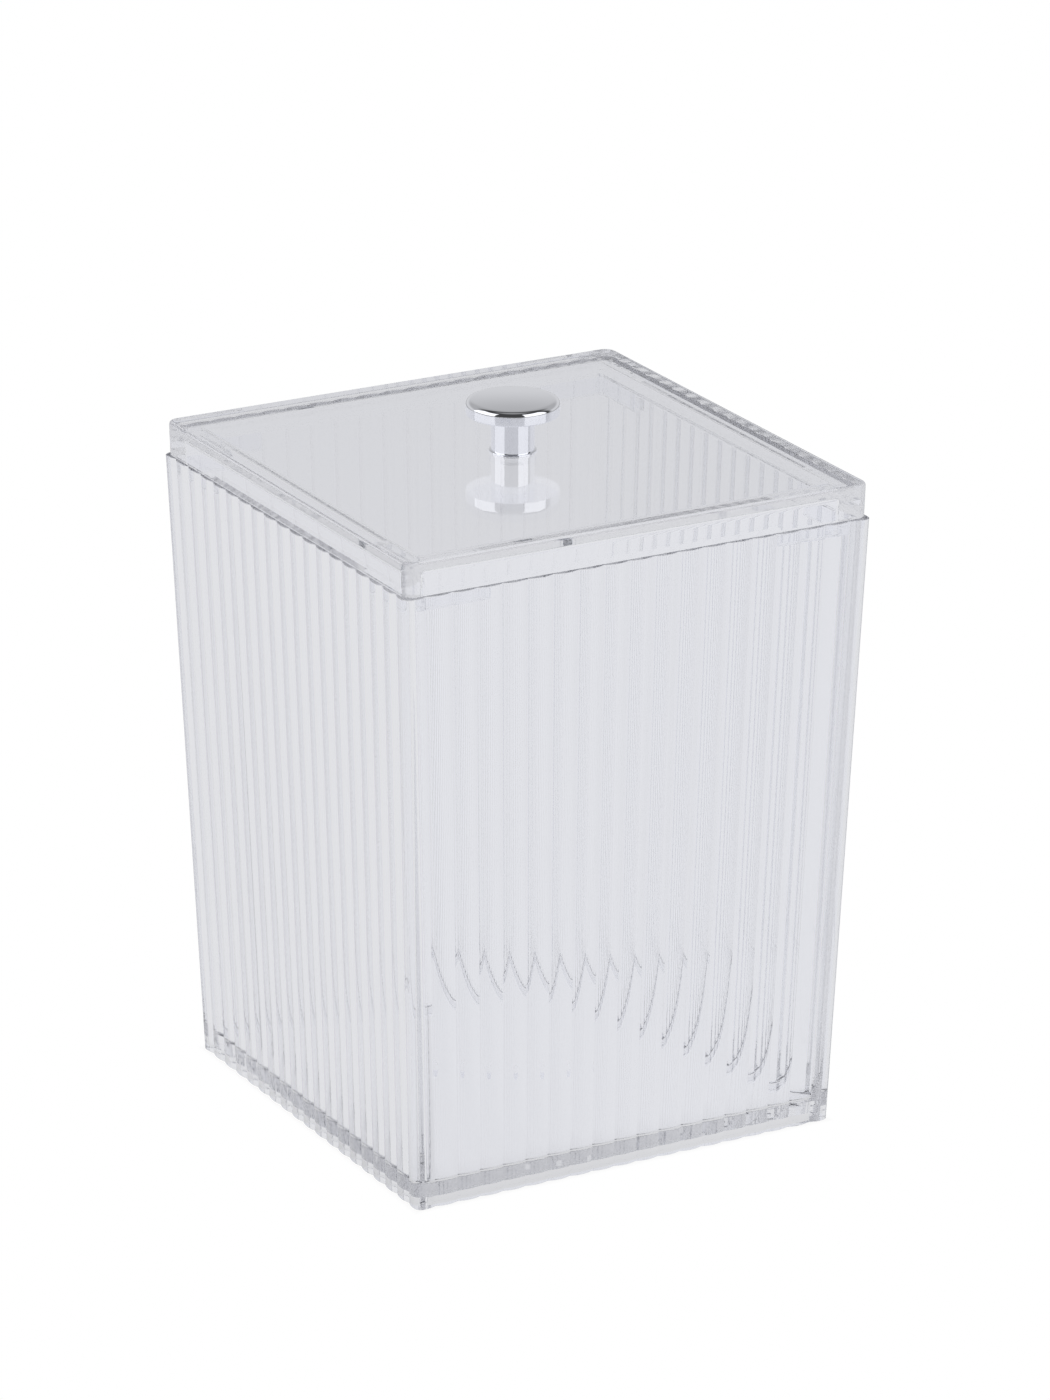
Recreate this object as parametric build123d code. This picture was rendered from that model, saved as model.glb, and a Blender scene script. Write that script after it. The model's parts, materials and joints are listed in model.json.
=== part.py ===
# Square canister of clear plastic: tapering reeded body, lift-off lid and a screwed knob.
# Millimetres. Z is up, the front is -Y, and the origin is at the middle of the base.

import os
from math import atan, degrees

from build123d import *

# Canister body
top_side = 100.9  # across the rib crests at the mouth
base_side = 91.9  # across the rib crests at the foot
body_height = 125.45
wall = 2.5  # from rib crest to the inside face
rib_count = 17  # whole ribs on each wall
rib_depth = 0.55  # crest to valley at the mouth
corner_rib_share = 0.85  # of a rib's pitch, from the last valley to the end of the wall
corner_radius = 1.6  # at the mouth
floor_thickness = 2.6
foot_height = 1.7  # the walls stand below the floor by this
foot_width = 2.5
inner_corner_radius = 2.0
floor_fillet = 1.2  # between the inside walls and the floor
gate_diameter = 5.0  # moulding mark under the middle of the floor
gate_height = 1.4

# Lid
lid_height = 7.05  # outer face, from the mouth of the body up
panel_thickness = 3.0
lid_corner_radius = 2.4
lid_edge_round = 0.7  # top edge
lid_draft_angle = 1.2  # degrees; the lid narrows towards the mouth
lid_set_in = 0.45  # the foot of the rim stands back from the rib crests by this
pocket_corner_radius = 1.3  # inside corners of the rim and the legs
pocket_fillet = 0.8  # between the rim and the underside of the panel
leg_depth = 3.3  # locating legs, below the mouth
leg_length = 16.0  # along each wall from the outer corner of the leg
leg_thickness = 2.2
leg_clearance = 0.4  # to the inside walls at the foot of the legs

# Knob
knob_height = 10.7
cap_diameter = 18.3
cap_thickness = 3.1
cap_edge_round = 1.0
cap_crown = 0.3  # rise of the top above its rounded edge
stem_diameter = 8.5
base_ring_diameter = 9.4
base_ring_height = 0.45

# Knob screw
screw_diameter = 3.0
screw_reach = 5.0  # length inside the knob
screw_point = 0.5  # chamfer at the tip
head_diameter = 5.6  # countersunk, flush with the underside of the panel
head_rim = 0.25  # height of the straight edge of the head
recess_width = 0.8  # cross recess in the head
recess_length = 3.0
recess_depth = 0.8
panel_hole_clearance = 0.2  # round the shank
head_clearance = 0.05  # round the head
thread_clearance = 0.05
tip_clearance = 1.0  # past the tip, in the knob

overrun = 1.0  # how far cutting solids pass the faces that they open

floor_level = foot_height + floor_thickness
mouth_level = body_height
lid_top = mouth_level + lid_height
panel_underside = lid_top - panel_thickness
leg_foot = mouth_level - leg_depth
wall_angle = degrees(atan((top_side - base_side) / 2 / body_height))


def crest_side(level):
    return base_side + (top_side - base_side) * level / body_height


def inner_side(level):
    return crest_side(level) - 2 * wall


leg_side = inner_side(leg_foot) - 2 * leg_clearance
pocket_side = leg_side - 2 * leg_thickness
lid_seat_side = top_side - 2 * lid_set_in


def rounded_square(side, radius, level):
    return Pos(0, 0, level) * RectangleRounded(side, side, radius)


def drafted_block(side, radius, level, height, angle):
    # A square block that widens upwards, with its four standing edges rounded.
    block = extrude(Pos(0, 0, level) * Rectangle(side, side), height)
    walls = block.faces().filter_by(Axis.Z, reverse=True)
    block = draft(walls, Plane((0, 0, level)), -angle)
    return fillet(block.edges().group_by(Axis.Z)[1], radius)


def ribbed_square(side, level):
    # Each rib is an arc between two sharp valleys. Half a rib runs flat into each rounded corner.
    half = side / 2
    depth = rib_depth * side / top_side
    rounding = corner_radius * side / top_side
    pitch = side / (rib_count + 2 * corner_rib_share)
    last_valley = half - corner_rib_share * pitch
    last_crest = last_valley + pitch / 2
    valley_line = half - depth
    corner_start = half - rounding
    lines = []
    for number in range(rib_count):
        start = number * pitch - last_valley
        crest = (start + pitch / 2, -half)
        lines.append(ThreePointArc((start, -valley_line), crest, (start + pitch, -valley_line)))
    lines.append(TangentArc((last_crest, -half), (last_valley, -valley_line), tangent=(-1, 0)))
    lines.append(Line((last_crest, -half), (corner_start, -half)))
    lines.append(TangentArc((corner_start, -half), (half, -corner_start), tangent=(1, 0)))
    lines.append(Line((half, -corner_start), (half, -last_crest)))
    lines.append(TangentArc((half, -last_crest), (valley_line, -last_valley), tangent=(0, 1)))
    outline = [Rot(0, 0, 90 * turn) * line for turn in range(4) for line in lines]
    return Pos(0, 0, level) * make_face(outline)


def make_body():
    shell = loft([ribbed_square(base_side, 0), ribbed_square(top_side, body_height)], ruled=True)
    cavity_height = body_height + overrun - floor_level
    floor_side = inner_side(floor_level)
    cavity = drafted_block(floor_side, inner_corner_radius, floor_level, cavity_height, wall_angle)
    cavity = fillet(cavity.faces().sort_by(Axis.Z)[0].edges(), floor_fillet)
    under_outline = rounded_square(base_side - 2 * foot_width, inner_corner_radius, -overrun)
    under = extrude(under_outline, overrun + foot_height)
    gate = extrude(Pos(0, 0, foot_height - gate_height) * Circle(gate_diameter / 2), gate_height)
    return shell - cavity - under + gate


def make_legs():
    # A square block below the rim, cut away between its corners. The pocket hollows it.
    ring_radius = inner_corner_radius - leg_clearance
    ring = extrude(rounded_square(leg_side, ring_radius, leg_foot), leg_depth)
    gap = leg_side - 2 * leg_length
    gap_length = leg_side + 2 * overrun
    middle = Pos(0, 0, leg_foot + leg_depth / 2)
    across = middle * Box(gap_length, gap, leg_depth)
    along = middle * Box(gap, gap_length, leg_depth)
    return ring - across - along


def make_countersink():
    # Seat of the screw head under the panel, with the hole above it.
    head_radius = head_diameter / 2 + head_clearance
    hole_radius = screw_diameter / 2 + panel_hole_clearance
    cone_top = head_rim + head_radius - hole_radius
    hole_top = panel_thickness + overrun
    outline = [(0, -overrun), (head_radius, -overrun), (head_radius, head_rim), (hole_radius, cone_top)]
    section = make_face(Polyline(outline + [(hole_radius, hole_top), (0, hole_top)], close=True))
    return Pos(0, 0, panel_underside) * revolve(Plane.XZ * section, Axis.Z)


def make_lid():
    cover = drafted_block(lid_seat_side, lid_corner_radius, mouth_level, lid_height, lid_draft_angle)
    cover = fillet(cover.faces().sort_by(Axis.Z)[-1].edges(), lid_edge_round)
    pocket_level = leg_foot - overrun
    pocket_outline = rounded_square(pocket_side, pocket_corner_radius, pocket_level)
    pocket = extrude(pocket_outline, panel_underside - pocket_level)
    pocket = fillet(pocket.faces().sort_by(Axis.Z)[-1].edges(), pocket_fillet)
    return cover + make_legs() - pocket - make_countersink()


def make_knob():
    # Half of the section, turned round the Z axis.
    cap_radius = cap_diameter / 2
    stem_radius = stem_diameter / 2
    ring_radius = base_ring_diameter / 2
    cap_underside = knob_height - cap_thickness
    crown_edge = (cap_radius - cap_edge_round, knob_height - cap_crown)
    band_top = (cap_radius, knob_height - cap_crown - cap_edge_round)
    ring_top = (ring_radius, base_ring_height)
    stem_foot = (stem_radius, base_ring_height)
    stem_head = (stem_radius, cap_underside)
    section = make_face(
        [
            Polyline((0, knob_height), (0, 0), (ring_radius, 0), ring_top, stem_foot),
            Polyline(stem_foot, stem_head, (cap_radius, cap_underside), band_top),
            TangentArc(band_top, crown_edge, tangent=(0, 1)),
            TangentArc((0, knob_height), crown_edge, tangent=(1, 0)),
        ]
    )
    hole_outline = Pos(0, 0, -overrun) * Circle(screw_diameter / 2 + thread_clearance)
    hole = extrude(hole_outline, overrun + screw_reach + tip_clearance)
    return Pos(0, 0, lid_top) * (revolve(Plane.XZ * section, Axis.Z) - hole)


def make_screw():
    # The head lies flush in the panel, and the shank goes up into the knob.
    head_radius = head_diameter / 2
    shank_radius = screw_diameter / 2
    cone_top = head_rim + head_radius - shank_radius
    tip = panel_thickness + screw_reach
    point_start = (shank_radius, tip - screw_point)
    point_end = (shank_radius - screw_point, tip)
    outline = [(0, tip), (0, 0), (head_radius, 0), (head_radius, head_rim), (shank_radius, cone_top)]
    section = make_face(Polyline(outline + [point_start, point_end], close=True))
    screw = revolve(Plane.XZ * section, Axis.Z)
    recess_height = recess_depth + overrun
    recess_place = Pos(0, 0, recess_depth - recess_height / 2)
    screw -= recess_place * Box(recess_length, recess_width, recess_height)
    screw -= recess_place * Box(recess_width, recess_length, recess_height)
    return Pos(0, 0, panel_underside) * screw


os.makedirs("parts", exist_ok=True)
export_step(make_body(), "parts/canister_body.step")
export_step(make_lid(), "parts/lid.step")
export_step(make_knob(), "parts/lid_knob.step")
export_step(make_screw(), "parts/knob_screw.step")
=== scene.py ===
import json
from math import asin, cos, pi, radians, sin, tan

import bmesh
import bpy
from mathutils import Matrix, Vector

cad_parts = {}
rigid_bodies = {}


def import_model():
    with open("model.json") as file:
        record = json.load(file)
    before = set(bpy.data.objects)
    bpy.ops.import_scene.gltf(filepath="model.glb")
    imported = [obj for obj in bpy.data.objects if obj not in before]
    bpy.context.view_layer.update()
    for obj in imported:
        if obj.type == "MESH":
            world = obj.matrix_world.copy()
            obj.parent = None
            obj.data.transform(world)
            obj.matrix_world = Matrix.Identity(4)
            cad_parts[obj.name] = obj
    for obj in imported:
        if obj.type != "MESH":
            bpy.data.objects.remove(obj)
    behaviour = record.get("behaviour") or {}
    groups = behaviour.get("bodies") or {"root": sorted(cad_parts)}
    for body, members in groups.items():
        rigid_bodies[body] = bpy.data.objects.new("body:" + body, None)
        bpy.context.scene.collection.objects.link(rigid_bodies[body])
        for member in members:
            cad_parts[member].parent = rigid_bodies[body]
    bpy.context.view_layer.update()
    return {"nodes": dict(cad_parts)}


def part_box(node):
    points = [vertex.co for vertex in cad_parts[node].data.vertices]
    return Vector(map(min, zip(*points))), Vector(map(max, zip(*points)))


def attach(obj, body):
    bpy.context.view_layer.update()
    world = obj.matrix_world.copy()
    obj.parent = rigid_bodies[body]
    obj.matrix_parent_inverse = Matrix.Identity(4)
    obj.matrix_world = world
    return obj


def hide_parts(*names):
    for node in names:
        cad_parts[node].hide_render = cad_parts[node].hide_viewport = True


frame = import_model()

mm = 0.001
near = 0.001 * mm  # points closer than this count as one place
overrun = 1.0 * mm  # how far cutters pass the faces that they open
bendLimit = 25  # degrees; edges that bend less are shaded smooth
origin = (0, 0, 0)


# small helpers for modelling by operator

def beginPiece(name, kind, **shape):  # a primitive at its size and place, left in edit mode
    bpy.ops.object.select_all(action="DESELECT")
    getattr(bpy.ops.mesh, "primitive_" + kind + "_add")(**shape)
    piece = bpy.context.object
    piece.name = name
    bpy.ops.object.transform_apply(location=True, rotation=True, scale=True)
    bpy.ops.object.mode_set(mode="EDIT")
    return piece


def pick(piece, what, test):  # select verts, edges or faces by their place
    tools = bpy.context.tool_settings
    tools.mesh_select_mode = (what == "verts", what == "edges", what == "faces")
    bpy.ops.mesh.select_all(action="DESELECT")
    mesh = bmesh.from_edit_mesh(piece.data)
    for part in getattr(mesh, what):
        if test(part):
            part.select_set(True)
    bmesh.update_edit_mesh(piece.data)


def atLevel(z):  # a test for edges and faces that lie in a level plane
    return lambda part: all(abs(v.co.z - z) < near for v in part.verts)


def extrude(move):
    bpy.ops.mesh.extrude_region_move(TRANSFORM_OT_translate={"value": move})


def widen(share):  # in plan, about the axis
    bpy.ops.transform.resize(value=(share, share, 1), center_override=origin)


def dot(place):  # one vertex, to spin or to draw a line from
    bpy.context.tool_settings.mesh_select_mode = (True, False, False)
    bpy.ops.mesh.primitive_plane_add(size=mm, location=place)
    bpy.ops.mesh.merge(type="CENTER")


def drawTo(move):
    bpy.ops.mesh.extrude_vertices_move(TRANSFORM_OT_translate={"value": move})


def arc(steps, angle, x, y):  # from the picked vertex, round a point of the base plane
    bpy.ops.mesh.spin(steps=steps, angle=-angle, center=(x, y, 0), axis=(0, 0, 1))


def roundedBlock(side, radius, steps, height, topSide):
    # the plane just added gets round corners and is drawn out to a drafted block
    bpy.ops.mesh.bevel(offset=radius, segments=steps, affect="VERTICES")
    bpy.ops.mesh.select_linked()
    extrude((0, 0, height))
    widen(topSide / side)


def endPiece(piece, limit=bendLimit):
    bpy.ops.mesh.select_all(action="SELECT")
    bpy.ops.mesh.remove_doubles(threshold=near / 2)
    bpy.ops.mesh.normals_make_consistent(inside=False)
    bpy.ops.object.mode_set(mode="OBJECT")
    smooth(piece, limit)


def smooth(piece, limit=bendLimit):  # round edges run smoothly into flats that stay flat
    bpy.ops.object.shade_smooth_by_angle(angle=radians(limit))
    step = piece.modifiers.new("flats", "WEIGHTED_NORMAL")
    step.keep_sharp = True
    step.weight = 100  # large faces lead
    bpy.ops.object.modifier_apply(modifier=step.name)


def combine(piece, tool, operation):  # boolean, applied, and the tool goes
    bpy.ops.object.select_all(action="DESELECT")
    piece.select_set(True)
    bpy.context.view_layer.objects.active = piece
    step = piece.modifiers.new(operation.lower(), "BOOLEAN")
    step.operation = operation
    step.object = tool
    step.solver = "EXACT"
    bpy.ops.object.modifier_apply(modifier=step.name)
    bpy.data.objects.remove(tool)


# canister body

canister = {
    "topSide": 100.9 * mm,  # across the rib crests
    "baseSide": 91.9 * mm,
    "wall": 2.5 * mm,
    "ribCount": 17,
    "ribDepth": 0.55 * mm,  # at the mouth
    "ribSteps": 10,
    "cornerRibShare": 0.85,  # of a rib's pitch, from the last valley to the end of the wall
    "cornerRadius": 1.6 * mm,  # at the mouth
    "cornerSteps": 12,
    "edge": 0.12 * mm,  # broken edge at the foot and the mouth
    "footHeight": 1.7 * mm,
    "footWidth": 2.5 * mm,
    "floorThickness": 2.6 * mm,
    "floorFillet": 1.2 * mm,
    "filletSteps": 6,
    "innerRadius": 2.0 * mm,  # standing corners of the inside and of the hollow under the floor
    "innerSteps": 10,
    "gateDiameter": 5.0 * mm,
    "gateHeight": 1.4 * mm,
    "gateSteps": 32,
}


def makeRibOutline(half, topHalf):  # one closed loop of rib arcs at the foot
    c = canister
    depth = c["ribDepth"] * half / topHalf
    cornerRadius = c["cornerRadius"] * half / topHalf
    pitch = 2 * half / (c["ribCount"] + 2 * c["cornerRibShare"])
    lastValley = half - c["cornerRibShare"] * pitch
    lastCrest = lastValley + pitch / 2
    ribRadius = (pitch * pitch / 4 + depth * depth) / (2 * depth)
    ribAngle = 2 * asin(pitch / 2 / ribRadius)
    bpy.ops.mesh.delete(type="VERT")
    dot((-lastValley, depth - half, 0))
    arc(c["ribSteps"], ribAngle, pitch / 2 - lastValley, ribRadius - half)
    bpy.ops.mesh.select_all(action="SELECT")
    for rib in range(c["ribCount"] - 1):
        bpy.ops.mesh.duplicate_move(TRANSFORM_OT_translate={"value": (pitch, 0, 0)})
    bpy.ops.mesh.select_all(action="DESELECT")
    dot((lastValley, depth - half, 0))  # half a rib, then flat to the corner and flat from it
    arc(c["ribSteps"] // 2, ribAngle / 2, lastCrest, ribRadius - half)
    flat = half - cornerRadius - lastCrest
    drawTo((flat, 0, 0))
    arc(c["cornerSteps"], pi / 2, half - cornerRadius, cornerRadius - half)
    drawTo((0, flat, 0))
    arc(c["ribSteps"] // 2, ribAngle / 2, half - ribRadius, -lastCrest)
    bpy.ops.mesh.select_all(action="SELECT")
    for wall in range(3):  # the other walls
        bpy.ops.mesh.duplicate()
        bpy.ops.transform.rotate(value=pi / 2, orient_axis="Z", center_override=origin)
    bpy.ops.mesh.select_all(action="SELECT")
    bpy.ops.mesh.remove_doubles(threshold=near)


def makeCanister():
    c = canister
    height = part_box("canister_body")[1].z
    topHalf, baseHalf = c["topSide"] / 2, c["baseSide"] / 2
    edge = c["edge"]

    def halfAt(z):  # from the axis to the rib crests
        return baseHalf + (topHalf - baseHalf) * z / height

    piece = beginPiece("canisterShell", "plane", size=mm)
    makeRibOutline(baseHalf, topHalf)
    widen((baseHalf - edge) / baseHalf)
    stations = [  # foot, then up the wall to the mouth
        (0, baseHalf - edge),
        (edge, halfAt(edge)),
        (height - edge, halfAt(height - edge)),
        (height, topHalf - edge),
    ]
    for (z0, half0), (z1, half1) in zip(stations, stations[1:]):
        extrude((0, 0, z1 - z0))
        widen(half1 / half0)

    floorLevel = c["footHeight"] + c["floorThickness"]
    innerSide = 2 * (halfAt(floorLevel) - c["wall"])
    mouthSide = 2 * (topHalf - c["wall"])
    bpy.ops.mesh.select_all(action="DESELECT")
    bpy.ops.mesh.primitive_plane_add(size=innerSide, location=(0, 0, floorLevel))
    roundedBlock(innerSide, c["innerRadius"], c["innerSteps"], height - floorLevel, mouthSide)
    bpy.ops.mesh.delete(type="ONLY_FACE")  # the mouth stays open
    pick(piece, "edges", atLevel(floorLevel))
    bpy.ops.mesh.bevel(offset=c["floorFillet"], segments=c["filletSteps"], affect="EDGES")
    pick(piece, "edges", atLevel(height))
    bpy.ops.mesh.fill()

    footHeight = c["footHeight"]
    underSide = c["baseSide"] - 2 * c["footWidth"]
    bpy.ops.mesh.select_all(action="DESELECT")
    bpy.ops.mesh.primitive_plane_add(size=underSide, location=(0, 0, footHeight))
    roundedBlock(underSide, c["innerRadius"], c["innerSteps"], -footHeight, underSide)
    bpy.ops.mesh.delete(type="ONLY_FACE")
    pick(piece, "edges", atLevel(0))
    bpy.ops.mesh.fill()
    pick(piece, "faces", atLevel(footHeight))
    bpy.ops.mesh.delete(type="ONLY_FACE")

    gate = {"vertices": c["gateSteps"], "radius": c["gateDiameter"] / 2}
    bpy.ops.mesh.primitive_circle_add(location=(0, 0, footHeight), **gate)
    pick(piece, "edges", atLevel(footHeight))
    bpy.ops.mesh.fill()

    def onGate(part):
        within = all(v.co.xy.length < gate["radius"] + near for v in part.verts)
        return within and atLevel(footHeight)(part)

    pick(piece, "edges", onGate)
    extrude((0, 0, -c["gateHeight"]))
    bpy.ops.mesh.edge_face_add()
    endPiece(piece)
    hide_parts("canister_body")
    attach(piece, "canister")
    return piece


canisterShell = makeCanister()
print("stage 2: canister body,", len(canisterShell.data.polygons), "faces")


# lid

lidCover = {
    "cornerRadius": 2.4 * mm,
    "cornerSteps": 12,
    "edgeRound": 0.7 * mm,  # top edge
    "edgeSteps": 5,
    "draft": radians(1.2),  # the rim narrows towards the mouth
    "panel": 3.0 * mm,
    "pocketSide": 90.46 * mm,
    "pocketRadius": 1.3 * mm,
    "pocketSteps": 10,
    "pocketFillet": 0.8 * mm,
    "filletSteps": 5,
    "legSide": 94.86 * mm,
    "legLength": 16.0 * mm,
    "legRadius": 1.6 * mm,
    "legSteps": 8,
    "legRoot": 0.75 * mm,  # how far the legs reach up into the rim
    "legEdge": 0.3 * mm,
    "legEdgeSteps": 2,
    "seatGap": 0.03 * mm,  # air under the rim, where it rests on the walls
    "seatSide": 96.6 * mm,  # the rim's foot is lowest here
    "seatSlope": radians(8),  # and lifts off the mouth on both sides of it
    "seatFlat": 0.01 * mm,  # between the two slopes
    "screwHole": 3.4 * mm,
    "screwSeat": 5.7 * mm,  # countersink for the screw's head
    "screwRim": 0.25 * mm,
    "screwSteps": 48,
}


def makeLegs(foot, top):  # a block below the rim, cut away between its corners and hollowed
    c = lidCover
    piece = beginPiece("lidLegs", "plane", size=c["legSide"], location=(0, 0, foot))
    roundedBlock(c["legSide"], c["legRadius"], c["legSteps"], top - foot, c["legSide"])
    endPiece(piece)
    gap, past = c["legSide"] - 2 * c["legLength"], 2 * c["legSide"]
    for across, along in ((past, gap), (gap, past)):
        size = (across, along, 4 * (top - foot))  # well past the block
        cutter = beginPiece("legGap", "cube", size=1, location=(0, 0, foot), scale=size)
        endPiece(cutter)
        combine(piece, cutter, "DIFFERENCE")
    start = (0, 0, foot - overrun)
    height = top - foot + 2 * overrun
    inside = beginPiece("legInside", "plane", size=c["pocketSide"], location=start)
    roundedBlock(c["pocketSide"], c["pocketRadius"], c["pocketSteps"], height, c["pocketSide"])
    endPiece(inside)
    combine(piece, inside, "DIFFERENCE")
    return piece


def makeScrewHole(foot, top):  # a round cutter drawn up from the head's seat
    c = lidCover
    seatRadius, holeRadius = c["screwSeat"] / 2, c["screwHole"] / 2
    disc = {"vertices": c["screwSteps"], "radius": seatRadius, "fill_type": "NGON"}
    piece = beginPiece("screwHole", "circle", location=(0, 0, foot - overrun), **disc)
    extrude((0, 0, overrun + c["screwRim"]))
    extrude((0, 0, seatRadius - holeRadius))
    widen(holeRadius / seatRadius)
    extrude((0, 0, top - foot))
    endPiece(piece)
    return piece


def makeLid():
    c = lidCover
    low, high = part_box("lid")
    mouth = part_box("canister_body")[1].z
    side = 2 * high.x
    footSide = side - 2 * (high.z - mouth) * tan(c["draft"])
    seat = mouth + c["seatGap"]
    lift = (footSide - c["seatSide"]) / 2 * tan(c["seatSlope"])
    piece = beginPiece("lidTray", "plane", size=c["seatSide"], location=(0, 0, seat))
    roundedBlock(c["seatSide"], c["cornerRadius"], c["cornerSteps"], lift, footSide)
    extrude((0, 0, high.z - seat - lift))
    widen(side / footSide)
    pick(piece, "edges", atLevel(high.z))
    bpy.ops.mesh.bevel(offset=c["edgeRound"], segments=c["edgeSteps"], affect="EDGES")
    endPiece(piece)

    underside = high.z - c["panel"]
    mouthSide = c["seatSide"] - 2 * c["seatFlat"]
    flare = (mouthSide - c["pocketSide"]) / 2 * tan(c["seatSlope"])
    pocket = beginPiece("pocket", "plane", size=mouthSide, location=(0, 0, seat - overrun))
    roundedBlock(mouthSide, c["pocketRadius"], c["pocketSteps"], overrun, mouthSide)
    extrude((0, 0, flare))
    widen(c["pocketSide"] / mouthSide)
    extrude((0, 0, underside - seat - flare))
    pick(pocket, "edges", atLevel(underside))
    bpy.ops.mesh.bevel(offset=c["pocketFillet"], segments=c["filletSteps"], affect="EDGES")
    endPiece(pocket)
    combine(piece, pocket, "DIFFERENCE")

    combine(piece, makeLegs(low.z, seat + c["legRoot"]), "UNION")
    combine(piece, makeScrewHole(underside, high.z), "DIFFERENCE")
    bpy.ops.object.mode_set(mode="EDIT")
    pick(piece, "edges", atLevel(low.z))
    bpy.ops.mesh.bevel(offset=c["legEdge"], segments=c["legEdgeSteps"], affect="EDGES")
    bpy.ops.object.mode_set(mode="OBJECT")
    smooth(piece)
    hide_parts("lid")
    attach(piece, "lid_set")
    return piece


lidTray = makeLid()
print("stage 3: lid,", len(lidTray.data.polygons), "faces")


# knob

knob = {
    "capThickness": 3.1 * mm,
    "capRound": 1.0 * mm,
    "capRoundSteps": 8,
    "capFootRound": 0.25 * mm,
    "crown": 0.3 * mm,  # rise of the top above its rounded edge
    "crownSteps": 6,
    "stem": 8.5 * mm,
    "baseRing": 9.4 * mm,
    "baseHeight": 0.45 * mm,
    "baseRound": 0.15 * mm,
    "smallSteps": 3,  # for the cap's foot and the base ring
    "hole": 3.1 * mm,
    "holeDepth": 6.0 * mm,
    "turns": 128,
    "bendLimit": 30,
    "seatGap": 0.02 * mm,  # air under the base ring
}


def roundPoint(piece, radius, level, offset, steps):  # round one corner of a drawn section
    spot = Vector((radius, 0, level))
    pick(piece, "verts", lambda v: (v.co - spot).length < near)
    bpy.ops.mesh.bevel(offset=offset, segments=steps, affect="VERTICES")


def makeKnob():
    c = knob
    low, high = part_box("lid_knob")
    capRadius, foot, top = high.x, low.z + c["seatGap"], high.z
    ringRadius, stemRadius, holeRadius = c["baseRing"] / 2, c["stem"] / 2, c["hole"] / 2
    capFoot = top - c["capThickness"]
    shoulder = top - c["crown"]
    ringTop = low.z + c["baseHeight"]
    holeTop = low.z + c["holeDepth"]
    section = [
        (0, holeTop),
        (holeRadius, holeTop),
        (holeRadius, foot),
        (ringRadius, foot),
        (ringRadius, ringTop),
        (stemRadius, ringTop),
        (stemRadius, capFoot),
        (capRadius, capFoot),
    ]
    for step in range(c["crownSteps"] + 1):
        share = 1 - step / c["crownSteps"]
        section.append((capRadius * share, top - c["crown"] * share * share))
    piece = beginPiece("knobMushroom", "plane", size=mm)
    bpy.ops.mesh.delete(type="VERT")
    dot((section[0][0], 0, section[0][1]))
    for (r0, z0), (r1, z1) in zip(section, section[1:]):
        drawTo((r1 - r0, 0, z1 - z0))
    roundPoint(piece, capRadius, shoulder, c["capRound"], c["capRoundSteps"])
    roundPoint(piece, capRadius, capFoot, c["capFootRound"], c["smallSteps"])
    roundPoint(piece, ringRadius, ringTop, c["baseRound"], c["smallSteps"])
    bpy.ops.mesh.select_all(action="SELECT")
    bpy.ops.mesh.spin(steps=c["turns"], angle=2 * pi, center=origin, axis=(0, 0, 1))
    endPiece(piece, c["bendLimit"])
    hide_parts("lid_knob")
    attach(piece, "lid_set")
    return piece


knobMushroom = makeKnob()
print("stage 4: knob,", len(knobMushroom.data.polygons), "faces")


# shader helper: a socket with arithmetic, and one way to add any other node

class Wire:
    def __init__(self, tree, socket=None):
        self.tree = tree
        self.socket = socket

    def node(self, kind, inputs=None, output=0, **settings):
        made = self.tree.nodes.new(kind)
        for name, value in settings.items():
            setattr(made, name, value)
        for name, value in (inputs or {}).items():
            if isinstance(value, Wire):
                self.tree.links.new(value.socket, made.inputs[name])
            else:
                made.inputs[name].default_value = value
        return Wire(self.tree, made.outputs[output] if made.outputs else None)

    def out(self, name):  # another output of the same node
        return Wire(self.tree, self.socket.node.outputs[name])

    def maths(self, operation, first, second=0):
        return self.node("ShaderNodeMath", {0: first, 1: second}, operation=operation)

    def __add__(self, other):
        return self.maths("ADD", self, other)

    __radd__ = __add__

    def __sub__(self, other):
        return self.maths("SUBTRACT", self, other)

    def __rsub__(self, other):
        return self.maths("SUBTRACT", other, self)

    def __mul__(self, other):
        return self.maths("MULTIPLY", self, other)

    __rmul__ = __mul__


def newMaterial(name):
    material = bpy.data.materials.new(name)
    material.use_nodes = True
    material.node_tree.nodes.clear()
    return material, Wire(material.node_tree)


def dress(piece, material):
    piece.data.materials.clear()
    piece.data.materials.append(material)


def hazyRoughness(tree, finish):  # a little uneven over the piece
    place = tree.node("ShaderNodeTexCoord", output="Object")
    grain = {"Vector": place, "Scale": finish["hazeScale"], "Detail": finish["hazeDetail"]}
    return finish["roughness"] + finish["haze"] * tree.node("ShaderNodeTexNoise", grain)


# clear plastic

plastic = {
    "tint": (0.977, 0.981, 1.0, 1.0),
    "ior": 1.56,
    "depthColor": (0.9, 0.901, 0.909, 1.0),
    "bodyDensity": 38.0,  # per metre of plastic
    "lidDensity": 14.0,
    "roughness": 0.01,
    "haze": 0.015,
    "hazeScale": 40.0,
    "hazeDetail": 3.0,
}


def makePlastic(name, density):
    material, tree = newMaterial(name)
    clear = {
        "Base Color": plastic["tint"],
        "Roughness": hazyRoughness(tree, plastic),
        "IOR": plastic["ior"],
        "Transmission Weight": 1.0,
    }
    surface = tree.node("ShaderNodeBsdfPrincipled", clear)
    absorbed = {"Color": plastic["depthColor"], "Density": density}
    depth = tree.node("ShaderNodeVolumeAbsorption", absorbed)
    tree.node("ShaderNodeOutputMaterial", {"Surface": surface, "Volume": depth})
    return material


dress(canisterShell, makePlastic("clearBody", plastic["bodyDensity"]))
dress(lidTray, makePlastic("clearLid", plastic["lidDensity"]))


# chrome and screw steel

plating = {
    "color": (0.89, 0.9, 0.94, 1.0),
    "roughness": 0.0,  # a true mirror, which the world tells from the plastic
}

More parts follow.
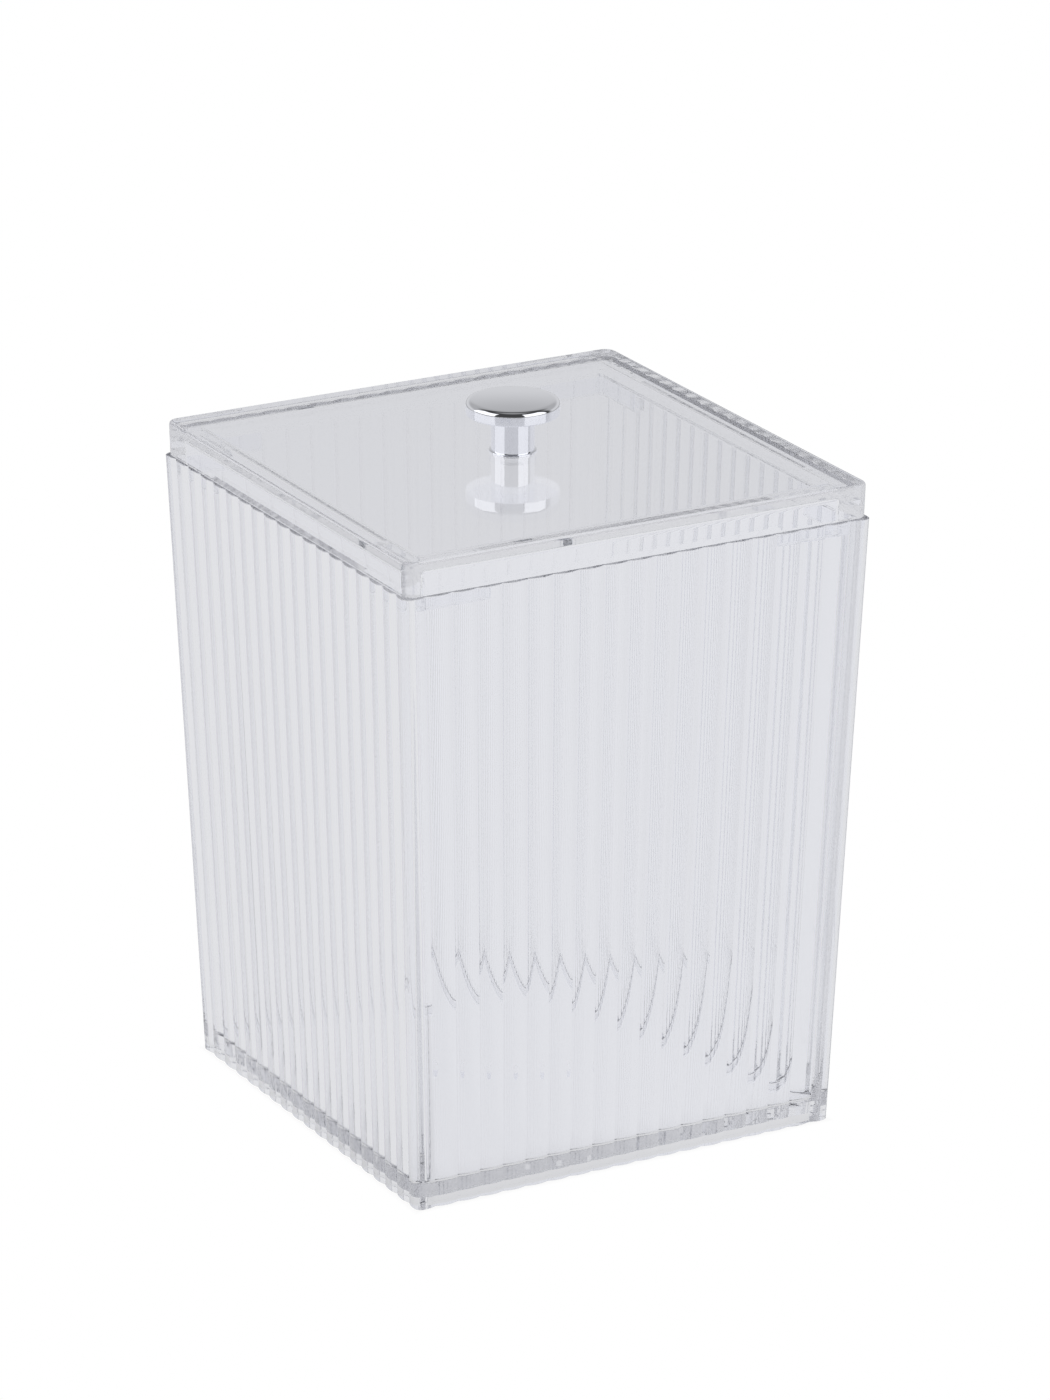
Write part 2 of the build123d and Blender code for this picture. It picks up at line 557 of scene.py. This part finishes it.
zinc = {
    "color": (0.62, 0.63, 0.65, 1.0),
    "roughness": 0.22,
    "haze": 0.2,
    "hazeScale": 300.0,
    "hazeDetail": 4.0,
}


def makeMetal(name, finish):
    material, tree = newMaterial(name)
    roughness = hazyRoughness(tree, finish) if "haze" in finish else finish["roughness"]
    shine = {"Base Color": finish["color"], "Metallic": 1.0, "Roughness": roughness}
    surface = tree.node("ShaderNodeBsdfPrincipled", shine)
    tree.node("ShaderNodeOutputMaterial", {"Surface": surface})
    return material


dress(knobMushroom, makeMetal("chromePlate", plating))
dress(frame["nodes"]["knob_screw"], makeMetal("screwSteel", zinc))
print("stage 5: materials")


# camera, at the photograph's viewing angle

view = {
    "azimuth": -29.039,
    "elevation": 20.056,
    "roll": 0.13,
    "distance": 1362.67 * mm,
    "across": 2.64 * mm,  # from the axis to the line of sight
    "upward": 76.34 * mm,
    "lens": 175.55,
    "sensor": 36.0,  # along the picture's taller side
}


def makeCamera():
    turned = Matrix.Rotation(radians(view["azimuth"]), 4, "Z")
    turned @= Matrix.Rotation(pi / 2 - radians(view["elevation"]), 4, "X")
    turned @= Matrix.Rotation(radians(view["roll"]), 4, "Z")
    data = bpy.data.cameras.new("camera")
    data.sensor_fit = "VERTICAL"
    data.sensor_height = view["sensor"]
    data.lens = view["lens"]
    camera = bpy.data.objects.new("camera", data)
    bpy.context.collection.objects.link(camera)
    stand = Vector((view["across"], view["upward"], view["distance"]))
    camera.matrix_world = Matrix.Translation(turned @ stand) @ turned
    bpy.context.scene.camera = camera


# floor and world; bearings are degrees from the camera's own, positive to its right

studio = {
    "floorSize": 6.0,
    "floorDrop": 0.1 * mm,
    "floorColor": (0.8, 0.8, 0.8, 1.0),
    # painted contact shadow: the next numbers darken the floor's glow by place round the foot,
    # and no lamp casts it
    "shadowFrom": 47.2 * mm,  # contact shadow: it starts outside the foot,
    "shadowFull": 45.6 * mm,  # is full under the walls
    "shadowInner": 43.6 * mm,
    "shadowTo": 30.0 * mm,  # and gives way to the light that comes through the middle
    "shadowDepth": 0.14,
    "shadowSeen": 0.3,  # share of it that the camera sees round the foot
    "white": (1.0, 1.0, 1.0, 1.0),  # the background
    "cool": (0.986, 0.988, 1.0, 1.0),  # tint of what the object shows
    "sweep": 0.815,  # the white sweep as clear plastic shows it
    "mirrored": 0.35,  # the room as the plastic's outer faces mirror it
    "floorPlain": 0.45,  # the floor as they mirror it
    "floorLit": (0.6, 0.78),  # and brighter where light is painted on it, on the left and on the right
    "litSides": ((-112, -62), (30, 75)),  # bearings of these two parts
    "litSoften": 16.0,  # degrees
    "backdrop": (0.68, 0.44),  # the room behind as the knob mirrors it, low and high
    "backdropFade": (0.2, 0.46),  # sines of these two elevations
    "backdropTop": (0.85, 0.62),  # and of those between which it ends
    "backdropSide": (-0.1, -0.35),  # it begins and is full where rays turn away from the camera
    "room": 0.06,  # the rest of the room
    "ceiling": 0.3,  # and straight above
    "ceilingFrom": 0.9,
    "softbox": 1.25,  # the softboxes as the knob mirrors them
    "softboxSides": ((-106, -44), (29, 88)),  # their bearings
    "softboxSoften": 2.0,  # degrees
    "softboxReach": (0.05, 0.77),  # sines of their lower and upper edges
    "softboxEdge": 0.03,
}


def towardsCamera(across, along):
    turn = radians(view["azimuth"])
    return across * sin(turn) - along * cos(turn)


def bearingOf(tree, across, along):
    turn = radians(view["azimuth"])
    toRight = across * cos(turn) + along * sin(turn)
    return tree.maths("ARCTAN2", toRight, towardsCamera(across, along))


def fade(tree, value, start, end, low=0.0, high=1.0):
    ends = {"Value": value, "From Min": start, "From Max": end, "To Min": low, "To Max": high}
    return tree.node("ShaderNodeMapRange", ends, interpolation_type="SMOOTHSTEP")


def between(tree, bearing, sector, soft):
    start, end, soft = [radians(angle) for angle in (*sector, soft)]
    begun = fade(tree, bearing, start - soft, start + soft)
    return begun * fade(tree, bearing, end + soft, end - soft)


def atLeast(tree, count, number):  # 1 once a count of bounces has come to this number
    return tree.maths("GREATER_THAN", count, number - 0.5)


def outerMirror(tree, path):  # 1 for light that an outer face mirrors
    mirrored = atLeast(tree, path.out("Glossy Depth"), 1)
    return mirrored * (1 - atLeast(tree, path.out("Transmission Depth"), 1))


def studioTint(tree, camera):  # sockets 0, 6 and 7 are the share and the two colours
    tints = {0: camera, 6: studio["cool"], 7: studio["white"]}
    return tree.node("ShaderNodeMix", tints, 2, data_type="RGBA")


def makeFloor():
    s = studio
    bpy.ops.object.select_all(action="DESELECT")
    bpy.ops.mesh.primitive_plane_add(size=s["floorSize"], location=(0, 0, -s["floorDrop"]))
    floor = bpy.context.object
    floor.name = "studioFloor"
    material, tree = newMaterial("paleFloor")
    path = tree.node("ShaderNodeLightPath")
    camera = path.out("Is Camera Ray")
    shown = tree.maths("MAXIMUM", path.out("Is Glossy Ray"), path.out("Is Transmission Ray"))
    shown = tree.maths("MAXIMUM", camera, shown)
    place = tree.node("ShaderNodeTexCoord", output="Object")
    place = tree.node("ShaderNodeSeparateXYZ", {0: place})
    across, along = place.out("X"), place.out("Y")
    # painted contact shadow: the glow is darker by place round the canister's foot, on the
    # camera's side, and the camera sees a share of it
    reach = tree.maths("MAXIMUM", tree.maths("ABSOLUTE", across), tree.maths("ABSOLUTE", along))
    nearSide = tree.maths("MAXIMUM", 0 - across, 0 - along)  # towards the camera
    shade = fade(tree, reach, s["shadowFrom"], s["shadowFull"])
    shade = shade * fade(tree, nearSide, s["shadowTo"], s["shadowInner"])
    shade = shade * s["shadowDepth"] * (1 - camera * (1 - s["shadowSeen"]))
    # painted light: as the outer faces mirror it, the floor glows brighter in two bearings, where
    # the softboxes would light it
    bearing = bearingOf(tree, across, along)
    left, right = [between(tree, bearing, sector, s["litSoften"]) for sector in s["litSides"]]
    litLeft, litRight = [lit - s["floorPlain"] for lit in s["floorLit"]]
    mirrored = s["floorPlain"] + left * litLeft + right * litRight
    level = s["sweep"] + camera * (1 - s["sweep"])
    level = level + outerMirror(tree, path) * (mirrored - s["sweep"])
    level = level * (1 - shade)
    paint = tree.node("ShaderNodeBsdfDiffuse", {"Color": s["floorColor"]})
    light = {"Color": studioTint(tree, camera), "Strength": level}
    glow = tree.node("ShaderNodeEmission", light)
    mixed = tree.node("ShaderNodeMixShader", {0: shown, 1: paint, 2: glow})
    tree.node("ShaderNodeOutputMaterial", {"Surface": mixed})
    dress(floor, material)


def makeWorld():
    s = studio
    world = bpy.data.worlds.new("studio")
    bpy.context.scene.world = world
    world.use_nodes = True
    world.node_tree.nodes.clear()
    tree = Wire(world.node_tree)
    path = tree.node("ShaderNodeLightPath")
    camera = path.out("Is Camera Ray")
    twice = atLeast(tree, path.out("Glossy Depth"), 2)  # by the knob and then the lid
    fromKnob = tree.maths("MAXIMUM", path.out("Is Singular Ray"), twice)
    aim = tree.node("ShaderNodeTexCoord", output="Generated")
    aim = tree.node("ShaderNodeSeparateXYZ", {0: aim})
    across, along, upward = aim.out("X"), aim.out("Y"), aim.out("Z")
    behind = fade(tree, towardsCamera(across, along), *s["backdropSide"])
    behind = behind * fade(tree, upward, *s["backdropTop"])
    backdrop = fade(tree, upward, *s["backdropFade"], *s["backdrop"])
    dim = fade(tree, upward, s["ceilingFrom"], 1.0, s["room"], s["ceiling"])
    bearing = bearingOf(tree, across, along)
    sides, soft = s["softboxSides"], s["softboxSoften"]
    left, right = [between(tree, bearing, sector, soft) for sector in sides]
    low, high = s["softboxReach"]
    inReach = fade(tree, upward, low - s["softboxEdge"], low)
    inReach = inReach * fade(tree, upward, high + s["softboxEdge"], high)
    room = dim + behind * (backdrop - dim) + (left + right) * inReach * s["softbox"]
    change = s["mirrored"] - s["sweep"] + fromKnob * (room - s["mirrored"])
    level = s["sweep"] + outerMirror(tree, path) * change
    level = camera + (1 - camera) * level
    light = {"Color": studioTint(tree, camera), "Strength": level}
    sky = tree.node("ShaderNodeBackground", light)
    tree.node("ShaderNodeOutputWorld", {"Surface": sky})


# softbox lamps, in metres and watts

softboxLeft = {"bearing": -75, "distance": 1.2, "height": 0.75, "size": (1.44, 1.2), "power": 7}
softboxRight = {"bearing": 58.5, "distance": 1.2, "height": 0.75, "size": (1.36, 1.2), "power": 7}
lampAim = (0, 0, 0.07)


def addSoftbox(name, settings):
    lamp = bpy.data.lights.new(name, "AREA")
    lamp.shape = "RECTANGLE"
    lamp.size, lamp.size_y = settings["size"]
    lamp.energy = settings["power"]
    box = bpy.data.objects.new(name, lamp)
    bpy.context.collection.objects.link(box)
    turn, distance = radians(view["azimuth"] + settings["bearing"]), settings["distance"]
    place = Vector((sin(turn) * distance, -cos(turn) * distance, settings["height"]))
    facing = (Vector(lampAim) - place).to_track_quat("-Z", "Y")
    box.matrix_world = Matrix.Translation(place) @ facing.to_matrix().to_4x4()
    box.visible_camera = False
    box.visible_transmission = False
    box.visible_glossy = False  # the world shows the softboxes to the knob


makeFloor()
makeWorld()
makeCamera()
addSoftbox("softboxLeft", softboxLeft)
addSoftbox("softboxRight", softboxRight)
bounces = 160  # light crosses many clear faces on its way out
scene = bpy.context.scene
scene.view_settings.view_transform = "Standard"
scene.cycles.max_bounces = bounces
scene.cycles.transmission_bounces = bounces
scene.cycles.glossy_bounces = bounces
print("stage 6: studio and camera")
